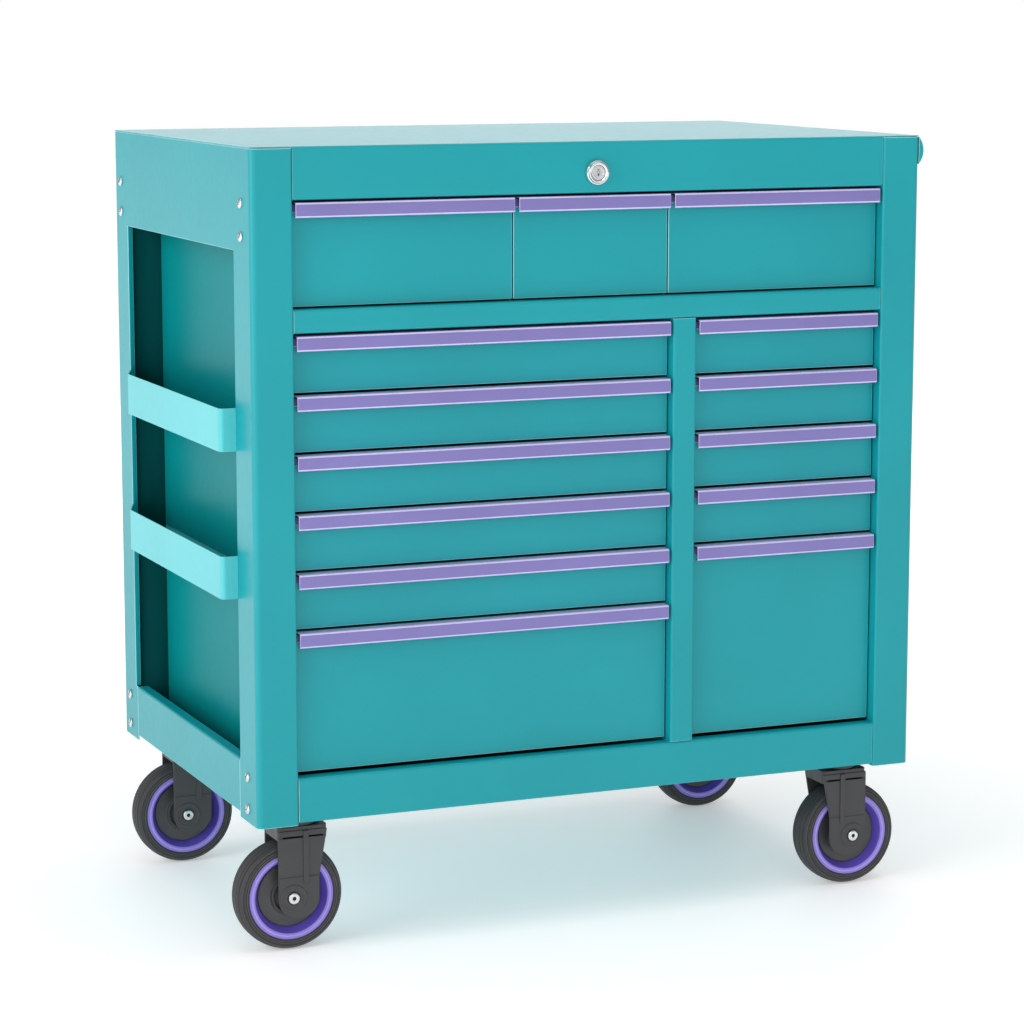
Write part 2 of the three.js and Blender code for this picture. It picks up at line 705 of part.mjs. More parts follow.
// Hub, web and dished barrel in one moulding, with a lip at each side that holds the tyre.
function wheelRim() {
  const bore = AXLE_RADIUS + RUNNING_CLEARANCE;
  const half = [
    [SEAT_RADIUS, RIM_HALF_WIDTH - 2.3],
    [LIP_RADIUS, RIM_HALF_WIDTH - 2],
    [LIP_RADIUS, RIM_HALF_WIDTH],
    [LIP_RADIUS - LIP_FACE, RIM_HALF_WIDTH],
    [LIP_RADIUS - LIP_FACE - DISH, WEB_HALF_THICKNESS],
    [HUB.rootRadius, WEB_HALF_THICKNESS],
    [HUB.radius, HUB.halfLength],
    [bore, HUB.halfLength],
  ];
  const lower = half.map(([r, h]) => [r, -h]).reverse();
  return join(turnedY([...lower, ...half], WHEEL_SEGMENTS));
}

function tyre() {
  const seat = SEAT_RADIUS + GAP;
  const bead = LIP_RADIUS + GAP;
  const half = [
    [AXLE_HEIGHT, TYRE_HALF_WIDTH - TYRE_SHOULDER],
    [AXLE_HEIGHT - TYRE_SHOULDER, TYRE_HALF_WIDTH],
    [bead, TYRE_HALF_WIDTH],
    [bead, RIM_HALF_WIDTH - 2.5],
    [seat, RIM_HALF_WIDTH - 2.8],
  ];
  const lower = half.map(([r, h]) => [r, -h]).reverse();
  return join(turnedY([...lower, ...half], WHEEL_SEGMENTS));
}

const casterMountGeometry = casterMount();
const casterForkGeometry = casterFork();
const rimGeometry = wheelRim();
const tyreGeometry = tyre();

for (const [end, y] of [['front', CASTER_FRONT_Y], ['back', CASTER_BACK_Y]]) {
  for (const [side, x, turn] of [['left', CASTER_LEFT_X, 0], ['right', CASTER_RIGHT_X, Math.PI]]) {
    const caster = new THREE.Group();
    caster.position.set(cabinet.position.x + WIDTH / 2 + x, cabinet.position.y + DEPTH / 2 + y, 0);
    caster.rotation.z = turn;
    const name = `caster_${end}_${side}`;
    addMesh(caster, `${name}_mount`, casterMountGeometry, ZINC);
    addMesh(caster, `${name}_fork`, casterForkGeometry, FORK_STEEL);
    addMesh(caster, `${name}_rim`, rimGeometry, RIM_PLASTIC).position.set(-TRAIL, 0, AXLE_HEIGHT);
    addMesh(caster, `${name}_tyre`, tyreGeometry, RUBBER).position.set(-TRAIL, 0, AXLE_HEIGHT);
    assembly.add(caster);
  }
}

export default assembly;
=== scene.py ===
"""A rolling tool chest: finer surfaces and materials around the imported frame.

Lengths are millimetres and are turned into metres where a mesh is made, except in the last section:
the floor, the lights and the camera are placed in metres.
Sheet-metal pieces keep the frame's shape and gain rounded edges. Handles, casters, the lock, the
push rail and the fasteners are built here, in the places that the frame gives.
"""

import json
import math

import bmesh
import bpy
from mathutils import Matrix, Vector

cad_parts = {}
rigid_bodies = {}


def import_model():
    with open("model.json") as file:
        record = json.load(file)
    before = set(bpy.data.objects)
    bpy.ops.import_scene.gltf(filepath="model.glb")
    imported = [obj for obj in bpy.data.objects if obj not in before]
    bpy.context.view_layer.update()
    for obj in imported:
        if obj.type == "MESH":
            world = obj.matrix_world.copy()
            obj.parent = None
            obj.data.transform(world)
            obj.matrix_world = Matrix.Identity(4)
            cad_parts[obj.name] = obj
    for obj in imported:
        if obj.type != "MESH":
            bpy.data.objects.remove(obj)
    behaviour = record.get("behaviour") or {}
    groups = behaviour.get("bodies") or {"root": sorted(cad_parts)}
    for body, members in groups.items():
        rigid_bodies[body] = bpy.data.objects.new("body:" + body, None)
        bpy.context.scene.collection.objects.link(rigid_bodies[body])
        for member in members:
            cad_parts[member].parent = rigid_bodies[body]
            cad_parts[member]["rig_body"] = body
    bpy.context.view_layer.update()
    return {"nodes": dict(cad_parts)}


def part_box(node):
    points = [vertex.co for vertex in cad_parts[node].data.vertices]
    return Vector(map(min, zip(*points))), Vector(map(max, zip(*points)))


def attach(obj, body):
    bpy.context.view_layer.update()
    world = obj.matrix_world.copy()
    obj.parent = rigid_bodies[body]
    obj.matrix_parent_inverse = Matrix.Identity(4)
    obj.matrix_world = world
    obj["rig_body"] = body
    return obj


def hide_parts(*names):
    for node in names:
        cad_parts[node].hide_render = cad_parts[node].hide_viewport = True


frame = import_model()

MM = 0.001
NODES = frame["nodes"]
BODY_OF = {node: obj["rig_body"] for node, obj in NODES.items()}

# ---- Sheet metal
EDGE_ROUND = 0.7
FOLD_ANGLE = math.radians(50)

# ---- Drawers: behind its folded face, each runner stands out this far past the tray's wall
FACE_DEPTH = 9.6
RUNNER = 6.5
RUNNER_MARGIN = 0.2

# ---- Screws: pan heads in pairs near each corner of a side, and lower ones down the back's edges
SCREW_RADIUS = 6.5
SCREW_RISE = 3.4
BACK_SCREW_RISE = 1.7
CROSS_HALF_WIDTH = 0.75
CROSS_HALF_LENGTH = 3.1
# Behind the side's front edge, ahead of its rear edge, and below the top.
SCREW_FRONT = 38
SCREW_REAR = 28
SCREW_DROPS = (69, 110, 786, 827)
BACK_SCREW_INSET = 30
BACK_SCREW_COUNT = 5

# ---- Hexagon bolts with washers, in the caster plates
BOLT_SPREAD = (43, 22)
BOLT_RADIUS = 6.2
BOLT_HEIGHT = 4.2
WASHER_BORE = 3
WASHER_RADIUS = 7.4
WASHER_THICKNESS = 1

# ---- Handles
HANDLE_CHAMFER = 2.1
HANDLE_WALL = 2
HANDLE_FRONT_DROP = 18.5
HANDLE_BACK_DROP = 13
HANDLE_RETURN = 3
HANDLE_END_ROUND = 0.9

# ---- Casters, in a frame with its origin on the floor under the swivel pin
WHEEL_RADIUS = 70
TRAIL = 12
LEG_INNER = 25
LEG_OUTER = 27.7
PANEL_OUTER = 28.5
LEG_BACK = -31.8
LEG_FRONT = 33.8
LEG_WAIST = 22.8
FOOT_RADIUS = 27.3
# Raised parts of the leg reach this far into its face, so that they join it.
SUNK = 0.4
RIB_OUTER = 30.2
BOSS_OUTER = 29.6
CROWN_CORNER = 6
CROWN_BOTTOM = 145
CROWN_TOP = 162.4
MOUNT_BOTTOM = 163
RACE_RADIUS = 30
PIN_RADIUS = 6
RUNNING_CLEARANCE = 0.5
PLATE_HALF_SIZE = (52, 31)
PLATE_CORNER = 6
PLATE_THICKNESS = 4
LIP_RADIUS = 56
WEB_RADIUS = 42
HUB_HALF_LENGTH = 23.8
# The tyre ribs' pale edges, painted highlights: between two radii, and farther out across the tyre than a
# third.
RIB_EDGE_HIGHLIGHTS = ((58.7, 59.3, 19.3), (60.5, 61.2, 19.3), (64.6, 65.2, 18.5))
WHEEL_SEGMENTS = 112
ROUND_SEGMENTS = 48

# ---- Lock
BEZEL_RADIUS = 15.5
BARREL_RADIUS = 12.5
LOCK_PROUD = 8
LOCK_NUT_RADIUS = 16
PLUG_RADIUS = 9.5
SLOT_HALF_WIDTH = 1.1
SLOT_HALF_LENGTH = 4.6
KEYWAY_RADIUS = 2.2
KEYWAY_RAISED = 0.8
CAM_THICKNESS = 2.5
CAM_NUT_RADIUS = 4.6

# ---- Floor, lights and camera, in metres and degrees
FLOOR_HALF_SIZE = 20
WORLD_STRENGTH = 0.38
BODY_MIDDLE = (0, 0, 0.5)
CAMERA_PLACE = (-1.65085, -3.96362, 1.18457)
CAMERA_DOWN = 9.0616
CAMERA_TURN = -22.7375
CAMERA_LENS = 111.82


# ==== Shader nodes

def add(tree, kind, inputs=None, **settings):
    made = tree.nodes.new(kind)
    for name, value in settings.items():
        setattr(made, name, value)
    for name, value in (inputs or {}).items():
        if isinstance(value, bpy.types.NodeSocket):
            tree.links.new(value, made.inputs[name])
        else:
            made.inputs[name].default_value = value
    return made


def noise(tree, where, scale, detail=3.0, roughness=0.5):
    inputs = {"Vector": where, "Scale": scale, "Detail": detail, "Roughness": roughness}
    return add(tree, "ShaderNodeTexNoise", inputs).outputs["Fac"]


def span(tree, value, low, high, to_low, to_high):
    inputs = {"Value": value, "From Min": low, "From Max": high, "To Min": to_low, "To Max": to_high}
    return add(tree, "ShaderNodeMapRange", inputs).outputs["Result"]


def ramp(tree, value, *stops):
    made = add(tree, "ShaderNodeValToRGB", {"Fac": value})
    elements = made.color_ramp.elements
    while len(elements) < len(stops):
        elements.new(0.5)
    for element, (position, colour) in zip(elements, stops):
        element.position = position
        element.color = (*colour, 1)
    return made.outputs["Color"]


def blend_colour(tree, factor, first, second):
    made = add(tree, "ShaderNodeMix", data_type="RGBA")
    for index, value in ((0, factor), (6, first), (7, second)):
        if isinstance(value, bpy.types.NodeSocket):
            tree.links.new(value, made.inputs[index])
        else:
            made.inputs[index].default_value = (*value, 1) if index else value
    return made.outputs[2]


def bump(tree, *layers):
    normal = None
    for height, strength, distance in layers:
        inputs = {"Height": height, "Strength": strength, "Distance": distance * MM}
        if normal:
            inputs["Normal"] = normal
        normal = add(tree, "ShaderNodeBump", inputs).outputs["Normal"]
    return normal


def new_material(name, **sockets):
    material = bpy.data.materials.new(name)
    material.use_nodes = True
    tree = material.node_tree
    shader = tree.nodes["Principled BSDF"]
    for socket, value in sockets.items():
        shader.inputs[socket.replace("_", " ")].default_value = value
    where = add(tree, "ShaderNodeTexCoord").outputs["Object"]
    return material, tree, shader, where


def tint(colour, factor):
    return tuple(min(1.0, c * factor) for c in colour)


# ==== Materials

def powder_coat(name, colour, variation=0.04, roughness=(0.33, 0.37), peel=0.1, specular=0.4):
    """Sprayed powder coat: cloudy colour, orange-peel surface, fine dust specks, uneven gloss."""
    material, tree, shader, where = new_material(name, Specular_IOR_Level=specular)
    clouds = noise(tree, where, 4.5, 4)
    mottle = noise(tree, where, 95, 3)
    specks = noise(tree, where, 900, 2, 0.7)
    base = ramp(tree, clouds, (0.3, tint(colour, 1 - variation)), (0.7, tint(colour, 1 + variation)))
    fine = span(tree, mottle, 0.35, 0.65, 0.0, 0.03)
    base = blend_colour(tree, fine, base, tint(colour, 0.86))
    dust = span(tree, specks, 0.66, 0.76, 0.0, 0.35)
    base = blend_colour(tree, dust, base, tint(colour, 1.35))
    tree.links.new(base, shader.inputs["Base Color"])
    tree.links.new(span(tree, mottle, 0.3, 0.7, *roughness), shader.inputs["Roughness"])
    orange_peel = noise(tree, where, 620, 2)
    long_wave = noise(tree, where, 14, 2)
    tree.links.new(bump(tree, (orange_peel, peel, 0.05), (long_wave, 0.01, 0.6)), shader.inputs["Normal"])
    return material


def edge_wear_and_highlight(name, colour, rubbed_highlight):
    """The thin coat along an edge, in a pale colour that is a painted highlight, lighter still where it has
    been rubbed.
    """
    material, tree, shader, where = new_material(name)
    rub = noise(tree, where, 60, 5, 0.65)
    base = ramp(tree, rub, (0.35, colour), (0.62, tint(colour, 1.15)), (0.74, rubbed_highlight))
    tree.links.new(base, shader.inputs["Base Color"])
    tree.links.new(span(tree, rub, 0.3, 0.8, 0.3, 0.45), shader.inputs["Roughness"])
    tree.links.new(bump(tree, (noise(tree, where, 500, 3), 0.15, 0.05)), shader.inputs["Normal"])
    return material


def anodised(name, colour, roughness=(0.3, 0.42)):
    """Extruded aluminium, brushed along X, with a dyed satin finish."""
    material, tree, shader, where = new_material(name, Metallic=0.25, Coat_Weight=0.15, Coat_Roughness=0.25)
    stretched = add(tree, "ShaderNodeMapping", {"Vector": where, "Scale": (1, 60, 60)}).outputs["Vector"]
    grain = noise(tree, stretched, 45, 4, 0.6)
    clouds = noise(tree, where, 9, 3)
    base = ramp(tree, clouds, (0.3, tint(colour, 0.95)), (0.7, tint(colour, 1.05)))
    base = blend_colour(tree, span(tree, grain, 0.35, 0.7, 0.0, 0.18), base, tint(colour, 1.3))
    tree.links.new(base, shader.inputs["Base Color"])
    tree.links.new(span(tree, grain, 0.3, 0.7, *roughness), shader.inputs["Roughness"])
    tree.links.new(bump(tree, (grain, 0.12, 0.05)), shader.inputs["Normal"])
    return material


def metal(name, colour, roughness, scratches=0.1, variation=0.1):
    """Bare or plated metal with fine rubbing marks and slightly uneven plating."""
    material, tree, shader, where = new_material(name, Metallic=1.0)
    marks = noise(tree, where, 360, 6, 0.7)
    clouds = noise(tree, where, 30, 3)
    base = ramp(tree, clouds, (0.3, tint(colour, 1 - variation)), (0.7, colour))
    tree.links.new(base, shader.inputs["Base Color"])
    tree.links.new(span(tree, marks, 0.3, 0.75, *roughness), shader.inputs["Roughness"])
    tree.links.new(bump(tree, (marks, scratches, 0.03)), shader.inputs["Normal"])
    return material


def moulded_plastic(name, colour, roughness=(0.28, 0.4)):
    """Injection-moulded plastic: fine spark-eroded grain and faint flow marks."""
    material, tree, shader, where = new_material(name, Coat_Weight=0.1, Coat_Roughness=0.2)
    flow = noise(tree, where, 18, 4)
    fine = noise(tree, where, 1400, 2)
    tree.links.new(
        ramp(tree, flow, (0.3, tint(colour, 0.92)), (0.7, tint(colour, 1.08))), shader.inputs["Base Color"])
    tree.links.new(span(tree, flow, 0.3, 0.7, *roughness), shader.inputs["Roughness"])
    tree.links.new(bump(tree, (fine, 0.12, 0.03)), shader.inputs["Normal"])
    return material


def rubber(name, colour):
    """Tyre rubber: matt, with moulding grain, and dusty patches."""
    material, tree, shader, where = new_material(name, Specular_IOR_Level=0.4)
    patches = noise(tree, where, 26, 5, 0.6)
    grain = noise(tree, where, 1100, 3, 0.6)
    base = ramp(tree, patches, (0.32, tint(colour, 0.85)), (0.6, colour), (0.8, tint(colour, 1.5)))
    tree.links.new(base, shader.inputs["Base Color"])
    tree.links.new(span(tree, patches, 0.3, 0.7, 0.55, 0.72), shader.inputs["Roughness"])
    tree.links.new(bump(tree, (grain, 0.25, 0.06), (patches, 0.15, 0.2)), shader.inputs["Normal"])
    return material


TEAL = (0.002, 0.335, 0.380)
# The body teal painted lighter, as painted light on the side trays.
TRAY_TEAL_LIT = (0.09, 0.57, 0.61)
# A pale teal, used as a painted highlight along rounded edges.
TEAL_HIGHLIGHT = (0.36, 0.80, 0.83)
# The teal darkened as painted shade, for the recess and the slide wall.
RECESS_WALL_SHADE = (0.002, 0.245, 0.26)
RECESS_END_SHADE = (0.0005, 0.055, 0.057)
SHADED_TEAL = (0.002, 0.14, 0.146)
LILAC = (0.215, 0.185, 0.47)
# A pale lilac, a painted highlight for the handles' top and edges.
LILAC_HIGHLIGHT = (0.66, 0.60, 0.95)

teal = powder_coat("teal_powder_coat", TEAL)
# Painted light: the side trays take a lighter copy of the teal coat.
lit_tray_teal = powder_coat("teal_powder_coat_tray_lit", TRAY_TEAL_LIT)
# Rounded edges of the teal sheet: pale paint as a painted highlight, with some wear.
teal_edge = edge_wear_and_highlight("teal_powder_coat_edge", tint(TEAL_HIGHLIGHT, 0.85), TEAL_HIGHLIGHT)
# Painted shade: the next three are darker teal coats for the recess and the slide wall, where shade falls.
recess_wall_shaded = powder_coat("recess_wall_powder_coat", RECESS_WALL_SHADE, specular=0.04)
recess_end_shaded = powder_coat("recess_end_powder_coat", RECESS_END_SHADE, roughness=(0.5, 0.6), specular=0.02)
dark_teal = powder_coat("dark_teal_powder_coat", SHADED_TEAL, roughness=(0.38, 0.48), specular=0.2)
# Pale edges of the shaded walls: a painted highlight over the painted shade.
dark_teal_edge = edge_wear_and_highlight("dark_teal_powder_coat_edge", tint(SHADED_TEAL, 1.2), tint(TEAL_HIGHLIGHT, 0.5))
handle_face = anodised("purple_anodised", LILAC)
# Painted highlight: pale lilac on the handles' top face and rounded edges.
handle_edge_highlight = anodised("purple_anodised_edge_highlight", LILAC_HIGHLIGHT, roughness=(0.22, 0.34))
chrome = metal("chrome", (0.82, 0.83, 0.84), (0.05, 0.14), 0.05)
bright_zinc = metal("bright_zinc", (0.75, 0.76, 0.77), (0.18, 0.34), 0.12)
slide_zinc = metal("zinc_slide", (0.52, 0.53, 0.54), (0.28, 0.45), 0.2, 0.2)
dark_steel = powder_coat("dark_fork_coat", (0.058, 0.058, 0.061), 0.12, (0.36, 0.5), 0.3)
dark_plastic = moulded_plastic("dark_hub_plastic", (0.058, 0.058, 0.061), (0.34, 0.48))
# Rim tints: the lip in its own colour, the bead paler as a painted highlight, the barrel darker as painted
# shade.
rim_lip = moulded_plastic("purple_rim_lip", (0.27, 0.20, 0.68))
rim_bead_highlight = moulded_plastic("purple_rim_bead", (0.50, 0.43, 0.92), (0.2, 0.3))
rim_barrel_shaded = moulded_plastic("purple_rim_barrel", (0.12, 0.085, 0.52))
tyre_rubber = rubber("tyre_rubber", (0.046, 0.046, 0.048))
# Paler rubber for the ribs' edges, a painted highlight.
tyre_rib_highlight = rubber("tyre_rib_highlight", (0.16, 0.16, 0.165))
# Flat black as painted shade, for handle ends, the axle sockets and the rings under the axle heads.
painted_shade_black = moulded_plastic("black_painted_shade", (0.006, 0.006, 0.007), (0.6, 0.7))


# ==== Mesh building

def fillet(points, steps=4):
    """A 2-D outline, in order, with each corner (x, y, radius) turned into an arc."""
    result = []
    count = len(points)
    for i, (x, y, radius) in enumerate(points):
        here = Vector((x, y))
        before = Vector(points[i - 1][:2]) - here
        after = Vector(points[(i + 1) % count][:2]) - here
        if radius <= 0 or before.length < 1e-6 or after.length < 1e-6:
            result.append((x, y))
            continue
        before_unit, after_unit = before.normalized(), after.normalized()
        half = math.acos(max(-1, min(1, before_unit.dot(after_unit)))) / 2
        if abs(half - math.pi / 2) < 0.01:
            result.append((x, y))
            continue
        reach = min(radius / math.tan(half), before.length * 0.49, after.length * 0.49)
        true_radius = reach * math.tan(half)
        centre = here + (before_unit + after_unit).normalized() * (true_radius / math.sin(half))
        start = here + before_unit * reach - centre
        turn = start.angle_signed(here + after_unit * reach - centre)
        for step in range(steps + 1):
            # angle_signed turns clockwise, and Matrix.Rotation the other way.
            arm = Matrix.Rotation(-turn * step / steps, 2) @ start
            result.append((centre.x + arm.x, centre.y + arm.y))
    return result


def hexagon(radius, centre=(0, 0), start=0):
    angles = [math.radians(60 * k + start) for k in range(6)]
    return [(centre[0] + radius * math.cos(a), centre[1] + radius * math.sin(a)) for a in angles]


def new_object(name, data):
    obj = bpy.data.objects.new(name, data)
    bpy.context.scene.collection.objects.link(obj)
    return obj


def mesh_from(bm, name):
    bmesh.ops.remove_doubles(bm, verts=bm.verts, dist=1e-7)
    bmesh.ops.recalc_face_normals(bm, faces=bm.faces)
    mesh = bpy.data.meshes.new(name)
    bm.to_mesh(mesh)
    bm.free()
    return mesh


def add_lathe(bm, profile, segments, centre=(0, 0), axis="Y", material=0):
    """Turns a closed profile of (radius, distance along the axis) round an axis through centre, and
    returns the faces. For axis Y centre is (x, z), for Z it is (x, y)."""
    columns = []
    for radius, along in profile:
        ring = []
        for k in range(segments if radius > 1e-6 else 1):
            angle = 2 * math.pi * k / segments
            u, v = radius * math.cos(angle) + centre[0], radius * math.sin(angle) + centre[1]
            point = (u, along, v) if axis == "Y" else (u, v, along)
            ring.append(bm.verts.new(Vector(point) * MM))
        columns.append(ring)
    faces = []
    for first, second in zip(columns, columns[1:] + columns[:1]):
        if len(first) == 1 and len(second) == 1:
            continue
        for k in range(segments):
            ring = [first[k % len(first)], first[(k + 1) % len(first)],
                    second[(k + 1) % len(second)], second[k % len(second)]]
            # A ring of one vertex, on the axis, gives triangles.
            faces.append(bm.faces.new(list(dict.fromkeys(ring))))
    for face in faces:
        face.smooth = True
        face.material_index = material
    return faces


def add_prism(bm, outline, start, end, axis="Y"):
    """An outline pushed along an axis. For Y it is in (x, z), for X in (y, z), for Z in (x, y)."""
    place = {
        "X": lambda a, b, along: (along, a, b),
        "Y": lambda a, b, along: (a, along, b),
        "Z": lambda a, b, along: (a, b, along),
    }[axis]
    rings = [[bm.verts.new(Vector(place(a, b, along)) * MM) for a, b in outline] for along in (start, end)]
    bm.faces.new(rings[0])
    bm.faces.new(rings[1][::-1])
    count = len(outline)
    for k in range(count):
        nxt = (k + 1) % count
        bm.faces.new([rings[0][k], rings[1][k], rings[1][nxt], rings[0][nxt]])


def cut_away(piece, *tools):
    """Cuts closed tool objects out of a piece's mesh for good, and removes the tools."""
    for tool in tools:
        change = piece.modifiers.new("cut", "BOOLEAN")
        change.operation = "DIFFERENCE"
        change.solver = "EXACT"
        change.object = tool
    graph = bpy.context.evaluated_depsgraph_get()
    result = bpy.data.meshes.new_from_object(piece.evaluated_get(graph))
    piece.modifiers.clear()
    piece.data = result
    for tool in tools:
        bpy.data.objects.remove(tool)


def tool_object(bm, name):
    return new_object(name, mesh_from(bm, name))


def finish_mesh(obj, round_mm=0.0, angle=FOLD_ANGLE, segments=2, edge_slot=-1, by_weight=False):
    """Rounded sharp edges, smooth shading between them, and flat faces that shade flat."""
    for face in obj.data.polygons:
        face.use_smooth = True
    obj.data.set_sharp_from_angle(angle=angle)
    if round_mm:
        bevel = obj.modifiers.new("round", "BEVEL")
        bevel.width = round_mm * MM
        bevel.segments = segments
        bevel.limit_method = "WEIGHT" if by_weight else "ANGLE"
        bevel.angle_limit = angle
        bevel.harden_normals = False
        # The rounded edges take the material in edge_slot, which on sheet metal and the push rail is a
        # painted highlight.
        bevel.material = edge_slot
        bevel.use_clamp_overlap = True
    weighted = obj.modifiers.new("flat faces", "WEIGHTED_NORMAL")
    weighted.weight = 60
    weighted.keep_sharp = not round_mm


def make_piece(name, mesh, body, slot, materials, location=None, replaced=(), turned=0.0, **finish):
    """Puts a visible piece on its body, in place of the frame nodes it replaces."""
    piece = new_object(name, mesh)
    if not mesh.materials:
        for material in materials:
            mesh.materials.append(material)
    if location is not None:
        piece.location = location
    piece.rotation_euler = (0, 0, turned)
    finish_mesh(piece, **finish)
    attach(piece, body)
    if replaced:
        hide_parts(*replaced)
    return piece


# ==== Sheet metal: the frame's own shapes with rounded edges

def finer_sheet(node, slot="teal_paint", face_material=teal, edge_material=teal_edge,
                third_material=slide_zinc, third_where=None):
    """A copy of a frame node with its flat faces merged and its outer edges rounded. Faces that
    third_where(middle, normal) picks take the third material."""
    bm = bmesh.new()
    bm.from_mesh(NODES[node].data)
    bmesh.ops.remove_doubles(bm, verts=bm.verts, dist=1e-6)
    bmesh.ops.dissolve_limit(bm, angle_limit=math.radians(0.5), verts=bm.verts, edges=bm.edges)
    weights = bm.edges.layers.float.new("bevel_weight_edge")
    for edge in bm.edges:
        if edge.is_manifold and edge.calc_face_angle_signed(0) > FOLD_ANGLE:
            edge[weights] = 1.0
    for face in bm.faces:
        third = third_where and third_where(face.calc_center_median(), face.normal)
        face.material_index = 2 if third else 0
    mesh = bpy.data.meshes.new(node + "_sheet")
    bm.to_mesh(mesh)
    bm.free()
    # The rounded edges take the second material, a painted highlight.
    return make_piece(
        node + "_sheet", mesh, BODY_OF[node], slot, [face_material, edge_material, third_material],
        replaced=(node,), round_mm=EDGE_ROUND, edge_slot=1, by_weight=True)


def drawer_runner_faces(node):
    """A test for the faces of a drawer's two runners, which stand out past its tray."""
    low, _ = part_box(node)
    behind = low.y + FACE_DEPTH * MM
    wide = [v.co.x for v in NODES[node].data.vertices if v.co.y > behind]
    inset = (RUNNER + RUNNER_MARGIN) * MM
    left, right = min(wide) + inset, max(wide) - inset
    return lambda c, normal: c.y > behind and (c.x < left or c.x > right)


def sheet_metal():
    for node in ("left_side_frame", "right_side_panel", "top_panel", "base_panel", "back_panel",
                 "left_apron", "mid_rail", "front_bottom_rail", "centre_divider"):
        finer_sheet(node)
    # The side trays take the lighter teal, painted light.
    for node in ("upper_side_tray", "lower_side_tray"):
        finer_sheet(node, face_material=lit_tray_teal)
    # Painted shade in the left bay: the liner in the darkest teal, and its faces that face -X in a less dark
    # teal.
    finer_sheet("left_bay_liner", "dark_teal_paint", recess_end_shaded, dark_teal_edge,
                recess_wall_shaded, lambda middle, normal: normal.x < -0.9)
    # Painted shade: the slide wall in the darker teal.
    finer_sheet("right_slide_wall", "dark_teal_paint", dark_teal, dark_teal_edge)
    for node in NODES:
        if node.startswith("drawer_"):
            finer_sheet(node, third_where=drawer_runner_faces(node))


# ==== Handles

def handle_outline(back, front, top):
    """Section in (y, z): a front face, a top, a lip that hooks behind and a short return below."""
    wall = HANDLE_WALL
    low, back_low = top - HANDLE_FRONT_DROP, top - HANDLE_BACK_DROP
    c = HANDLE_CHAMFER
    return fillet([
        (front, low, c), (front, top, c), (back, top, 0.8), (back, back_low, 0.6),
        (back - wall, back_low, 0.6), (back - wall, top - wall, 0.5), (front + wall, top - wall, 0.5),
        (front + wall, low + wall, 0.5), (front + wall + HANDLE_RETURN, low + wall, 0.6),
        (front + wall + HANDLE_RETURN, low, 0.6),
    ], 3)


def handles():
    for node in [n for n in NODES if n.startswith("handle_")]:
        low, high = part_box(node)
        outline = handle_outline(high.y / MM, low.y / MM, high.z / MM)
        bm = bmesh.new()
        add_prism(bm, outline, low.x / MM, high.x / MM, "X")
        ends = [e for e in bm.edges if abs(e.verts[0].co.x - e.verts[1].co.x) < 1e-7]
        bmesh.ops.bevel(bm, geom=ends, offset=HANDLE_END_ROUND * MM, segments=3, profile=0.5,
                        affect="EDGES", clamp_overlap=True)
        bmesh.ops.recalc_face_normals(bm, faces=bm.faces)
        bm.normal_update()
        for face in bm.faces:
            n = face.normal
            plain = max(abs(n.x), abs(n.y), abs(n.z)) > 0.999
            # Painted light: black ends as painted shade, the top and rounded edges pale as a painted
            # highlight, and the plain faces in the handle's own colour.
            face.material_index = 2 if abs(n.x) > 0.99 else 1 if n.z > 0.99 or not plain else 0
        make_piece(node + "_extrusion", mesh_from(bm, node), BODY_OF[node], "purple_handle",
                   [handle_face, handle_edge_highlight, painted_shade_black], replaced=(node,), angle=math.radians(40))


# ==== Lock

def lock_centre():
    low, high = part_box("lock_housing")
    return Vector(((low.x + high.x) / 2, 0, (low.z + high.z) / 2))


def lock_housing():
    low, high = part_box("lock_housing")
    centre = lock_centre()
    face, tail = low.y / MM, high.y / MM
    rail = face + LOCK_PROUD + 1
    bore, bezel = PLUG_RADIUS + 0.3, BEZEL_RADIUS
    bm = bmesh.new()
    add_lathe(bm, fillet([
        (bore, tail, 0), (bore, face + 1.6, 0.3), (bore + 1.3, face + 1.2, 0.3), (bore + 1.5, face, 0.5),
        (bezel - 2.6, face, 0.9), (bezel - 1.6, face + 2.4, 0.6), (bezel - 0.2, face + 3.2, 0.5),
        (bezel, rail, 0.3), (BARREL_RADIUS, rail, 0), (BARREL_RADIUS, tail, 0.6),
    ]), ROUND_SEGMENTS)
    make_piece("lock_bezel", mesh_from(bm, "lock_bezel"), "cabinet", "chrome", [chrome],
               location=centre, replaced=("lock_housing",), angle=math.radians(40))
    bm = bmesh.new()
    add_prism(bm, hexagon(LOCK_NUT_RADIUS, start=30), tail - 18, tail - 14.5, "Y")
    make_piece("lock_nut", mesh_from(bm, "lock_nut"), "cabinet", "zinc", [slide_zinc],
               location=centre, round_mm=0.5)


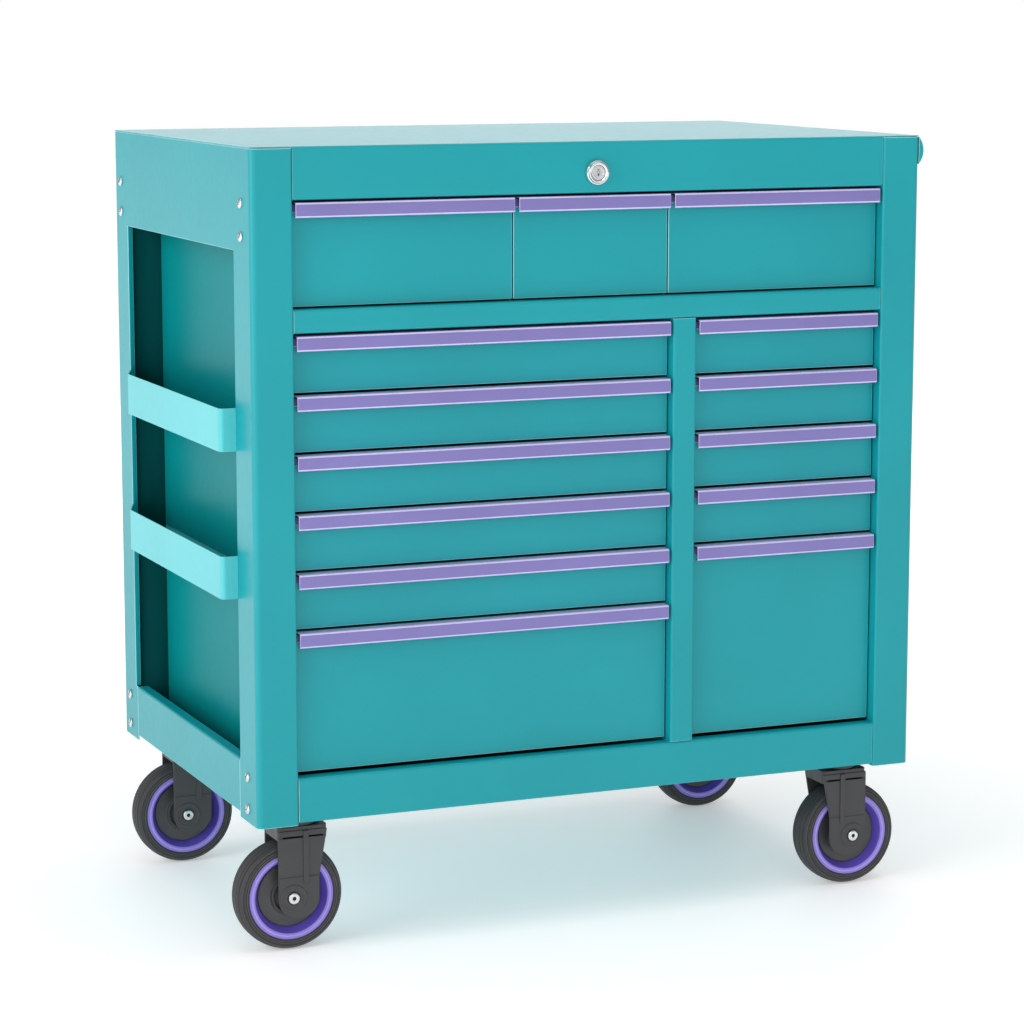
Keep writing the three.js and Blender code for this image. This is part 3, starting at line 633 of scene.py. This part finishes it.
def lock_plug():
    low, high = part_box("lock_plug")
    centre = lock_centre()
    face, tail = low.y / MM, high.y / MM
    bm = bmesh.new()
    add_lathe(bm, fillet([
        (0, face + 0.4, 0), (PLUG_RADIUS - 3.2, face + 0.4, 0.3), (PLUG_RADIUS - 2.8, face, 0.3),
        (PLUG_RADIUS, face, 0.5), (PLUG_RADIUS, tail - CAM_THICKNESS, 0), (0, tail - CAM_THICKNESS, 0),
    ]), ROUND_SEGMENTS)
    plug = tool_object(bm, "lock_cylinder")
    bm = bmesh.new()
    wide, tall = SLOT_HALF_WIDTH, SLOT_HALF_LENGTH
    slot_outline = [(-wide, -tall, 0.5), (wide, -tall, 0.5), (wide, tall, 0.5), (-wide, tall, 0.5)]
    add_prism(bm, fillet(slot_outline, 2), face - 2, face + 9, "Y")
    slot = tool_object(bm, "slot_tool")
    bm = bmesh.new()
    keyway_outline = [(0, face - 2), (KEYWAY_RADIUS, face - 2), (KEYWAY_RADIUS, face + 6), (0, face + 6)]
    add_lathe(bm, keyway_outline, 16, (0, KEYWAY_RAISED))
    keyway = tool_object(bm, "keyway_tool")
    cut_away(plug, slot, keyway)
    mesh = plug.data
    bpy.data.objects.remove(plug)
    make_piece("lock_cylinder", mesh, "lock_plug", "chrome", [bright_zinc], location=centre,
               replaced=("lock_plug",), angle=math.radians(30))
    bm = bmesh.new()
    outline = fillet([(-7, -7, 5), (7, -7, 5), (6, 30, 4), (-6, 30, 4)], 5)
    add_prism(bm, outline, tail - CAM_THICKNESS, tail, "Y")
    add_prism(bm, hexagon(CAM_NUT_RADIUS), tail - 2.6, tail + 2.2, "Y")
    make_piece("lock_cam", mesh_from(bm, "lock_cam"), "lock_plug", "zinc", [slide_zinc], location=centre,
               round_mm=0.3)


# ==== Push rail

def push_rail():
    """A bar with a bowed outer face, an arc across its height."""
    low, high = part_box("push_rail")
    x0, x1 = low.x / MM, high.x / MM
    middle, half = (low.z + high.z) / 2 / MM, (high.z - low.z) / 2 / MM
    reach = x1 - x0
    radius = (half * half + reach * reach) / (2 * reach)
    spread = math.asin(half / radius)
    steps = 24
    outline = []
    for k in range(steps + 1):
        angle = -spread + 2 * spread * k / steps
        outline.append((x1 - radius + radius * math.cos(angle), middle + radius * math.sin(angle)))
    bm = bmesh.new()
    add_prism(bm, outline, low.y / MM, high.y / MM, "Y")
    # Its rounded edges take teal_edge, a painted highlight.
    make_piece("push_rail_bow", mesh_from(bm, "push_rail_bow"), "cabinet", "teal_paint",
               [teal, teal_edge], replaced=("push_rail",), round_mm=1.2, segments=3, edge_slot=1)


# ==== Screws

def screw_mesh(rise):
    """A pan-head screw that points along +Y, its seat at y = 0, with a cross recess."""
    bm = bmesh.new()
    add_lathe(bm, fillet([
        (0, -rise, 0), (SCREW_RADIUS * 0.55, -rise, 3), (SCREW_RADIUS, -rise * 0.55, 1.6),
        (SCREW_RADIUS, 0, 0.4), (0, 0, 0),
    ]), 32)
    head = tool_object(bm, "screw_head")
    wide, long = CROSS_HALF_WIDTH, CROSS_HALF_LENGTH
    arm = [(-wide, -long), (wide, -long), (wide, long), (-wide, long)]
    tools = []
    for turn_angle in (0, math.pi / 2):
        bm = bmesh.new()
        add_prism(bm, arm, -rise - 1, -rise * 0.44, "Y")
        bmesh.ops.rotate(bm, verts=bm.verts, matrix=Matrix.Rotation(turn_angle + 0.6, 3, "Y"))
        tools.append(tool_object(bm, "recess_tool"))
    cut_away(head, *tools)
    mesh = head.data
    bpy.data.objects.remove(head)
    mesh.materials.append(bright_zinc)
    for face in mesh.polygons:
        face.use_smooth = True
    mesh.set_sharp_from_angle(angle=math.radians(35))
    return mesh


def place_screw(mesh, name, point, quarter_turn, spin):
    piece = new_object(name, mesh)
    piece.rotation_euler = (0, spin, quarter_turn)
    piece.location = point
    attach(piece, "cabinet")


def screws():
    mesh, low_head = screw_mesh(SCREW_RISE), screw_mesh(BACK_SCREW_RISE)
    left_low, left_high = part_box("left_side_frame")
    _, right_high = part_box("right_side_panel")
    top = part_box("top_panel")[1].z
    # Facing -X on the left, +X on the right and +Y on the back.
    sides = (("left", left_low.x, -math.pi / 2), ("right", right_high.x, math.pi / 2))
    ends = (("front", left_low.y + SCREW_FRONT * MM), ("rear", left_high.y - SCREW_REAR * MM))
    for side, x, quarter_turn in sides:
        for end, y in ends:
            for k, drop in enumerate(SCREW_DROPS):
                spin = 0.7 * k + (0.3 if end == "rear" else 0)
                point = (x, y, top - drop * MM)
                place_screw(mesh, f"screw_{side}_{end}_{k + 1}", point, quarter_turn, spin)
    back_low, back_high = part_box("back_panel")
    inset = BACK_SCREW_INSET * MM
    for side, x in (("left", back_low.x + inset), ("right", back_high.x - inset)):
        for k in range(BACK_SCREW_COUNT):
            share = (k + 0.5) / BACK_SCREW_COUNT
            z = back_low.z + share * (back_high.z - back_low.z)
            place_screw(low_head, f"screw_back_{side}_{k + 1}", (x, back_high.y, z), math.pi, 0.9 * k)


# ==== Casters

def add_leg(bm, side):
    """One leg of the fork with its raised panels, its rib and the boss round the axle."""
    axle_x, axle_z = -TRAIL, WHEEL_RADIUS
    inner, outer, panel = side * LEG_INNER, side * LEG_OUTER, side * PANEL_OUTER
    low, top = axle_z - FOOT_RADIUS, CROWN_TOP - 4

    def pressing(z_low, z_high, front_low, front_high, corners=0.5):
        round_low = FOOT_RADIUS - 2 if z_low < axle_z else corners
        return fillet([(LEG_BACK + 0.9, z_high, corners), (LEG_BACK + 0.9, z_low, round_low),
                       (front_low, z_low, round_low), (front_high, z_high, corners)], 8)

    base = fillet([(LEG_BACK, top, 3), (LEG_BACK, low, FOOT_RADIUS), (LEG_WAIST, low, FOOT_RADIUS),
                   (LEG_WAIST, axle_z + FOOT_RADIUS, 8), (LEG_FRONT, top, 3)], 10)
    add_prism(bm, base, inner, outer, "Y")
    upper = pressing(axle_z + 80, top - 1, LEG_FRONT - 2.2, LEG_FRONT - 1.2, 1.5)
    middle = pressing(axle_z + 29, axle_z + 78, LEG_WAIST - 0.8, LEG_FRONT - 3.2)
    lower = pressing(low + 0.9, axle_z + 27, LEG_WAIST - 0.9, LEG_WAIST - 0.9)
    for outline in (upper, middle, lower):
        add_prism(bm, outline, outer - side * SUNK, panel, "Y")
    rib = fillet([(axle_x + 13, axle_z + 18, 3), (axle_x + 20, axle_z + 18, 3),
                  (axle_x + 20, top - 1.5, 1), (axle_x + 13, top - 1.5, 1)], 4)
    add_prism(bm, rib, outer - side * SUNK, side * RIB_OUTER, "Y")
    root, crest, floor = outer - side * SUNK, side * BOSS_OUTER, side * (BOSS_OUTER - 0.5)
    boss = fillet([(8.6, root, 0), (17.5, root, 0), (17.5, crest, 1),
                   (15.4, crest, 0.5), (14.6, floor, 0.4), (8.6, floor, 0.4)])
    add_lathe(bm, boss, ROUND_SEGMENTS, (axle_x, axle_z))


def fork_mesh():
    """The crown is a folded block with round corners, bored for the pin, that carries both legs."""
    bm = bmesh.new()
    corner = CROWN_CORNER
    crown = fillet([(LEG_BACK, -LEG_OUTER, corner), (LEG_FRONT, -LEG_OUTER, corner),
                    (LEG_FRONT, LEG_OUTER, corner), (LEG_BACK, LEG_OUTER, corner)], 5)
    add_prism(bm, crown, CROWN_BOTTOM, CROWN_TOP, "Z")
    block = tool_object(bm, "crown_block")
    bm = bmesh.new()
    bore, under, over = PIN_RADIUS + RUNNING_CLEARANCE, CROWN_BOTTOM - 2, CROWN_TOP + 2
    add_lathe(bm, [(0, under), (bore, under), (bore, over), (0, over)], 32, axis="Z")
    cut_away(block, tool_object(bm, "crown_bore"))
    bm = bmesh.new()
    bm.from_mesh(block.data)
    bpy.data.objects.remove(block)
    for side in (-1, 1):
        add_leg(bm, side)
    return mesh_from(bm, "caster_fork")


def axle_mesh():
    """The axle bolt with a bright socketed head at each end; its socket and a ring under the head are flat
    black, painted shade.
    """
    bm = bmesh.new()
    centre = (-TRAIL, WHEEL_RADIUS)
    for side in (-1, 1):
        cap = fillet([
            (0, side * 28.8, 0), (2.4, side * 28.8, 0), (2.6, side * 31, 0.2), (5.9, side * 31.4, 0.8),
            (7.2, side * 30.6, 0.8), (7.4, side * 27.4, 0), (0, side * 27.4, 0),
        ])
        add_lathe(bm, cap, ROUND_SEGMENTS, centre)
        # The socket and the ring below take material 1, flat black painted shade.
        socket = [(0, side * 28.6), (2.8, side * 28.6), (2.8, side * 29.1), (0, side * 29.1)]
        add_lathe(bm, socket, 6, centre, material=1)
        ring = [(7.2, side * 27.4, 0), (8.9, side * 27.4, 0),
                (8.9, side * 29.6, 0.4), (7.2, side * 29.6, 0.2)]
        add_lathe(bm, fillet(ring), ROUND_SEGMENTS, centre, material=1)
    add_lathe(bm, [(0, -27.6), (5, -27.6), (5, 27.6), (0, 27.6)], 32, centre)
    return mesh_from(bm, "caster_axle")


def mirrored(half):
    """A closed profile from its half with positive distances along the axis."""
    return [(r, -h, f) for r, h, f in reversed(half)] + list(half)


def rim_mesh():
    """The purple rim: a lip, with a bead in its groove on each side painted pale as a painted highlight, and
    a barrel painted darker as painted shade.
    """
    bm = bmesh.new()
    lip = LIP_RADIUS
    outer = [(lip - 2.5, 17.2, 0.2), (lip - 0.1, 17.4, 0.2), (lip - 0.1, 19.3, 0.7), (lip - 3.4, 19.4, 0.3),
             (lip - 3.7, 18.5, 0.2), (lip - 4.2, 18.5, 0.2), (lip - 4.5, 19.4, 0.6), (lip - 7.5, 19.2, 0.9)]
    barrel = [(lip - 8.4, 18, 0.5), (WEB_RADIUS, 8, 0.4)]
    faces = add_lathe(bm, fillet(mirrored(outer + barrel), 3), WHEEL_SEGMENTS)
    barrel_edge, bead_inner, bead_outer = lip - 7.9, lip - 4.9, lip - 3.2
    for face in faces:
        middle = face.calc_center_median() / MM
        radius = math.hypot(middle.x, middle.z)
        # Barrel faces take painted shade, bead faces a painted highlight, and the lip its own colour.
        face.material_index = 1 if radius < barrel_edge else 2 if bead_inner < radius < bead_outer else 0
    return mesh_from(bm, "wheel_rim")


def web_mesh():
    """Dark disc, collar and hub inside the rim, with the bearing's dust cap."""
    bm = bmesh.new()
    end = HUB_HALF_LENGTH - 0.6
    half = [(6.2, end, 0.4), (11.8, end, 0.6), (12.5, 17, 0.5), (14, 11, 1.5), (20.5, 9.5, 1.5),
            (21.5, 15.2, 0.5), (24.5, 15.6, 0.7), (25.6, 9.8, 1.5), (WEB_RADIUS - 1.2, 9, 0.6),
            (WEB_RADIUS - 0.1, 7.5, 0.4)]
    add_lathe(bm, fillet(mirrored(half[::-1]), 3), WHEEL_SEGMENTS)
    return mesh_from(bm, "wheel_web")


def tyre_mesh():
    """A tyre with three ring ribs on each wall, their edges paler as a painted highlight, and four grooves
    round its tread.
    """
    half = [(53.8, 16.6, 0.2), (56.3, 17, 0.2), (56.3, 19.4, 0.4), (57.4, 19.9, 0.5), (59, 19.9, 0.4),
            (59.4, 18.7, 0.3), (60.4, 18.7, 0.3), (60.8, 19.8, 0.4), (62.8, 19.6, 0.4), (63.2, 18.2, 0.3),
            (64.4, 18, 0.3), (64.9, 18.9, 0.4), (66.4, 18.2, 0.5), (67.8, 16.2, 0.8), (68.5, 14.2, 0.4),
            (67.2, 13.6, 0.2), (67.2, 12.6, 0.2), (69.2, 12, 0.5), (69.8, 7.2, 0.5), (68.5, 6.6, 0.2),
            (68.5, 5.6, 0.2), (WHEEL_RADIUS, 5, 0.5)]
    bm = bmesh.new()
    faces = add_lathe(bm, fillet(mirrored(half), 2), WHEEL_SEGMENTS)
    for face in faces:
        middle = face.calc_center_median() / MM
        radius, across = math.hypot(middle.x, middle.z), abs(middle.y)
        # Rib edges take the paler rubber, a painted highlight.
        pale = any(low < radius < high and across > out for low, high, out in RIB_EDGE_HIGHLIGHTS)
        face.material_index = 1 if pale else 0
    return mesh_from(bm, "tyre")


def mount_mesh(plate_low, plate_high):
    """Plate, dark raceway ring, king pin and its flattened head, under the body."""
    bm = bmesh.new()
    head, race, under = CROWN_BOTTOM - 0.6, RACE_RADIUS, MOUNT_BOTTOM + 6.4
    add_lathe(bm, fillet([
        (0, head - 3, 0), (10.4, head - 3, 1.4), (12, head - 1, 0.5), (12, head, 0.3), (PIN_RADIUS, head, 0),
        (PIN_RADIUS, MOUNT_BOTTOM, 0), (race - 3, MOUNT_BOTTOM, 0.8), (race, MOUNT_BOTTOM + 3, 1.2),
        (race, under, 0.6), (race - 1, under + 0.4, 0.3), (race - 1, plate_low + 0.5, 0),
        (0, plate_low + 0.5, 0),
    ]), 64, axis="Z", material=1)
    x, y = PLATE_HALF_SIZE
    corner = PLATE_CORNER
    plate = fillet([(-x, -y, corner), (x, -y, corner), (x, y, corner), (-x, y, corner)], 5)
    add_prism(bm, plate, plate_low, plate_high, "Z")
    return mesh_from(bm, "caster_mount")


def bolts_mesh(seat):
    bm = bmesh.new()
    for x in (-BOLT_SPREAD[0], BOLT_SPREAD[0]):
        for y in (-BOLT_SPREAD[1], BOLT_SPREAD[1]):
            add_prism(bm, hexagon(BOLT_RADIUS, (x, y)), seat - BOLT_HEIGHT, seat, "Z")
            under = seat - WASHER_THICKNESS
            bore, rim = WASHER_BORE, WASHER_RADIUS
            washer = [(bore, under), (rim, under), (rim, seat), (bore, seat)]
            add_lathe(bm, washer, 32, (x, y), "Z")
    return mesh_from(bm, "plate_bolts")


def casters():
    plate_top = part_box("caster_front_left_mount")[1].z / MM
    plate_bottom = plate_top - PLATE_THICKNESS
    meshes = {
        "fork": fork_mesh(), "axle": axle_mesh(), "rim": rim_mesh(), "web": web_mesh(),
        "tyre": tyre_mesh(), "mount": mount_mesh(plate_bottom, plate_top), "bolts": bolts_mesh(plate_bottom),
    }
    for corner in ("front_left", "front_right", "back_left", "back_right"):
        name = "caster_" + corner
        low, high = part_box(name + "_mount")
        swivel = Vector(((low.x + high.x) / 2, (low.y + high.y) / 2, 0))
        low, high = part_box(name + "_rim")
        wheel = (low + high) / 2
        fork_body, wheel_body = BODY_OF[name + "_fork"], BODY_OF[name + "_rim"]
        # The meshes trail towards -X, so a caster that trails towards +X is turned round.
        turned = math.pi if wheel.x > swivel.x else 0.0

        def part(kind, body, slot, materials, at, node=None, **finish):
            replaced = (f"{name}_{node}",) if node else ()
            make_piece(f"{name}_{kind}_piece", meshes[kind], body, slot, materials, at, replaced, turned,
                       **finish)

        soft = math.radians(40)
        part("mount", "cabinet", "zinc", [slide_zinc, dark_steel], swivel, "mount", angle=math.radians(35))
        part("bolts", "cabinet", "zinc", [bright_zinc], swivel, round_mm=0.4)
        part("fork", fork_body, "dark_fork", [dark_steel], swivel, "fork", round_mm=0.5, angle=soft)
        part("axle", fork_body, "zinc", [bright_zinc, painted_shade_black], swivel, angle=soft)
        part("rim", wheel_body, "purple_rim", [rim_lip, rim_barrel_shaded, rim_bead_highlight], wheel, "rim", angle=soft)
        part("web", wheel_body, "dark_fork", [dark_plastic], wheel, angle=soft)
        part("tyre", wheel_body, "tyre", [tyre_rubber, tyre_rib_highlight], wheel, "tyre", angle=math.radians(50))


# ==== Stage, light and camera

def stage():
    material, tree, shader, where = new_material("pale_floor", Roughness=0.6, Specular_IOR_Level=0.1)
    clouds = noise(tree, where, 0.8, 3)
    base = ramp(tree, clouds, (0.3, (0.88, 0.88, 0.885)), (0.7, (0.9, 0.9, 0.9)))
    tree.links.new(base, shader.inputs["Base Color"])
    # Painted light: the floor glows by emission like a light table lit from below, more so far away where
    # the softboxes don't reach.
    away = add(tree, "ShaderNodeVectorMath", {"Vector": where}, operation="LENGTH").outputs["Value"]
    tree.links.new(span(tree, away, 0.7, 3.6, 0.34, 0.7), shader.inputs["Emission Strength"])
    bm = bmesh.new()
    bmesh.ops.create_grid(bm, x_segments=8, y_segments=8, size=FLOOR_HALF_SIZE)
    mesh = bpy.data.meshes.new("floor")
    bm.to_mesh(mesh)
    bm.free()
    mesh.materials.append(material)
    new_object("floor", mesh)


def softbox(name, location, target, size, power):
    light = bpy.data.lights.new(name, "AREA")
    light.shape = "RECTANGLE"
    light.size, light.size_y = size
    light.energy = power
    lamp = new_object(name, light)
    lamp.visible_camera = False
    lamp.location = location
    lamp.rotation_euler = (Vector(target) - Vector(location)).to_track_quat("-Z", "Y").to_euler()


def studio():
    """A white backdrop for the camera, dimmer light from all round, and five softboxes."""
    world = bpy.data.worlds.new("studio")
    bpy.context.scene.world = world
    world.use_nodes = True
    tree = world.node_tree
    background = tree.nodes["Background"]
    background.inputs["Color"].default_value = (1, 1, 1, 1)
    background.inputs["Strength"].default_value = WORLD_STRENGTH
    backdrop = add(tree, "ShaderNodeBackground", {"Color": (1, 1, 1, 1), "Strength": 1.0})
    ray = add(tree, "ShaderNodeLightPath")
    mix = add(tree, "ShaderNodeMixShader", {"Fac": ray.outputs["Is Camera Ray"]})
    tree.links.new(background.outputs[0], mix.inputs[1])
    tree.links.new(backdrop.outputs[0], mix.inputs[2])
    tree.links.new(mix.outputs[0], tree.nodes["World Output"].inputs["Surface"])
    softbox("key_left", (-4.2, -1.2, 1.9), BODY_MIDDLE, (3.2, 3.2), 94)
    softbox("front_fill", (-1.0, -5.0, 2.2), BODY_MIDDLE, (3.5, 2.5), 45)
    softbox("top", (0.2, -0.4, 3.6), BODY_MIDDLE, (3.5, 3.0), 44)
    softbox("behind_right", (2.0, 4.6, 1.7), (0, 0, 1.0), (4.4, 2.6), 50)
    softbox("behind_left", (-2.1, 4.4, 0.8), BODY_MIDDLE, (2.4, 2.6), 5)
    bpy.context.scene.view_settings.view_transform = "Standard"


def camera():
    data = bpy.data.cameras.new("camera")
    data.lens = CAMERA_LENS
    data.sensor_width = 36
    data.clip_end = 100
    cam = new_object("camera", data)
    cam.location = CAMERA_PLACE
    cam.rotation_euler = (math.radians(90 - CAMERA_DOWN), 0, math.radians(CAMERA_TURN))
    bpy.context.scene.camera = cam


camera()
studio()
stage()
sheet_metal()
handles()
push_rail()
lock_housing()
lock_plug()
screws()
casters()
